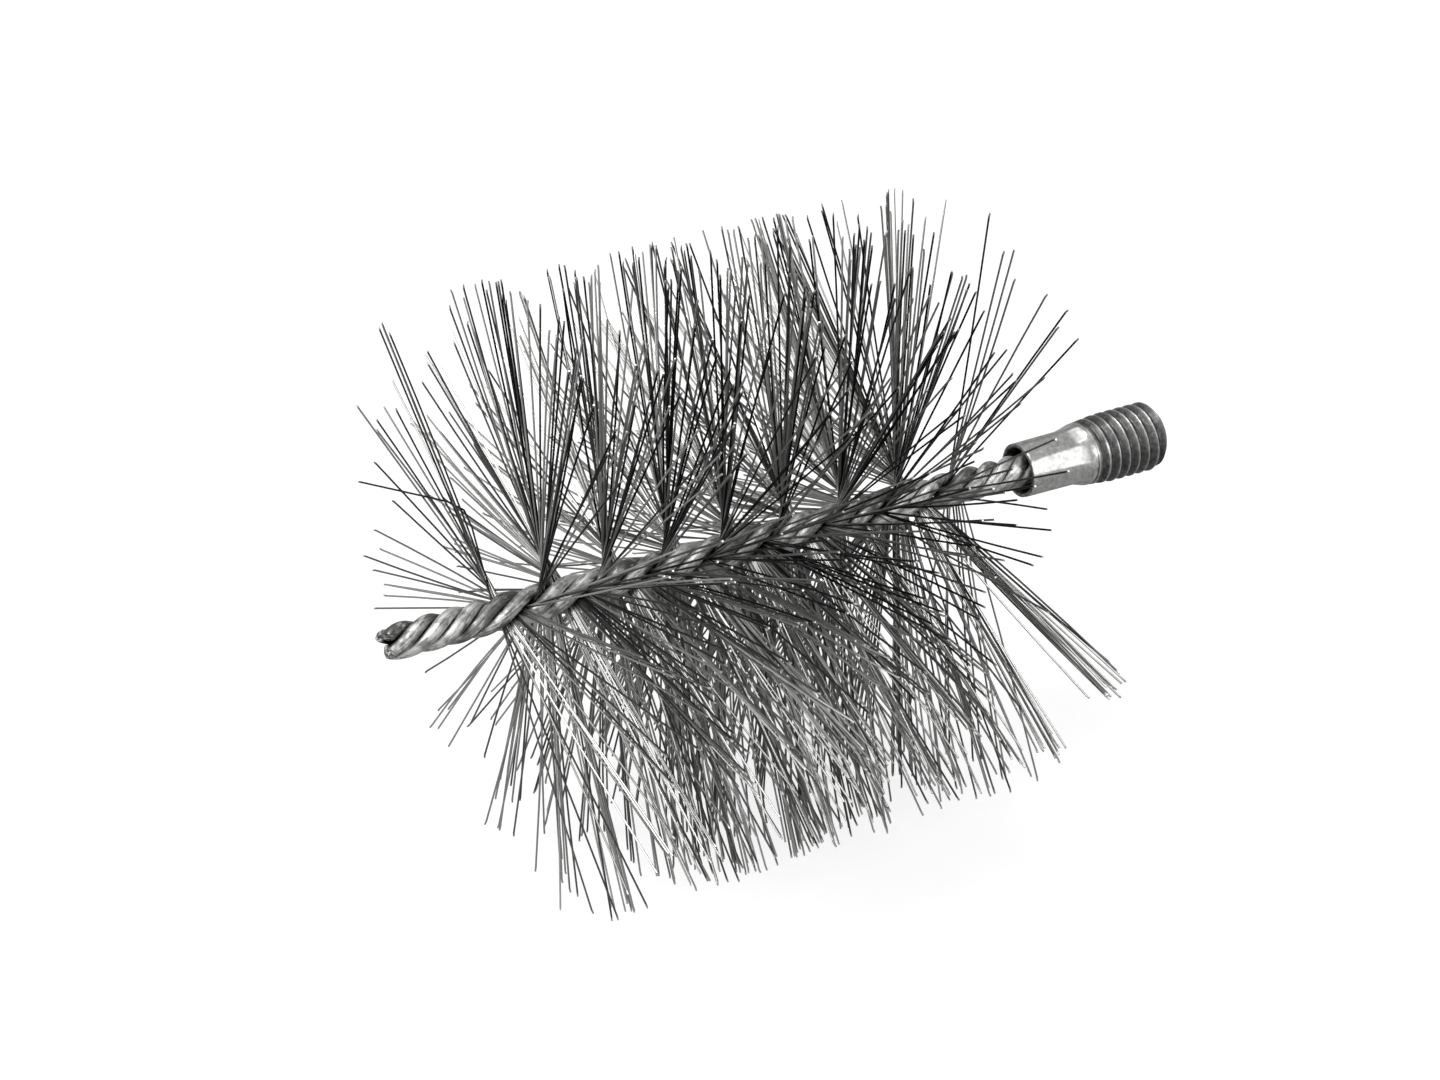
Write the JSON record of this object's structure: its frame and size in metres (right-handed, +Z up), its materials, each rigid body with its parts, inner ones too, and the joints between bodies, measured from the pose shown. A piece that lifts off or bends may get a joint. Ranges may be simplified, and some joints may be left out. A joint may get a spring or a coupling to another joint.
{
  "type": "wire tube brush",
  "caption": "Round wire brush for cleaning tubes and flues: a spiral of steel bristles held in a twisted wire stem, with a threaded ferrule crimped on its end.",
  "frame": {"origin": "on the surface that the brush lies on, under the middle of its bounding box", "axes": "+X along the brush's axis, from the sheared tip of the stem to the threaded end; +Z up as the brush lies on its bristle tips"},
  "size_m": [0.1544, 0.108, 0.1075],
  "materials": {
    "stem_wire": "drawn steel wire, dull grey with scuffed bright lines",
    "bristle_steel": "bare hardened spring-steel wire, dark grey, with bright cut ends",
    "plated_ferrule": "zinc-plated steel, bright on the crimped collar and duller on the thread"
  },
  "bodies": {
    "root": {"stem_wire_1": "stem_wire", "stem_wire_2": "stem_wire", "stem_wire_3": "stem_wire", "stem_wire_4": "stem_wire", "bristle_tuft_01": "bristle_steel", "bristle_tuft_02": "bristle_steel", "bristle_tuft_03": "bristle_steel", "bristle_tuft_04": "bristle_steel", "bristle_tuft_05": "bristle_steel", "bristle_tuft_06": "bristle_steel", "bristle_tuft_07": "bristle_steel", "bristle_tuft_08": "bristle_steel", "bristle_tuft_09": "bristle_steel", "bristle_tuft_10": "bristle_steel", "bristle_tuft_11": "bristle_steel", "bristle_tuft_12": "bristle_steel", "bristle_tuft_13": "bristle_steel", "bristle_tuft_14": "bristle_steel", "bristle_tuft_15": "bristle_steel", "bristle_tuft_16": "bristle_steel", "threaded_ferrule": "plated_ferrule"}
  },
  "joints": []
}
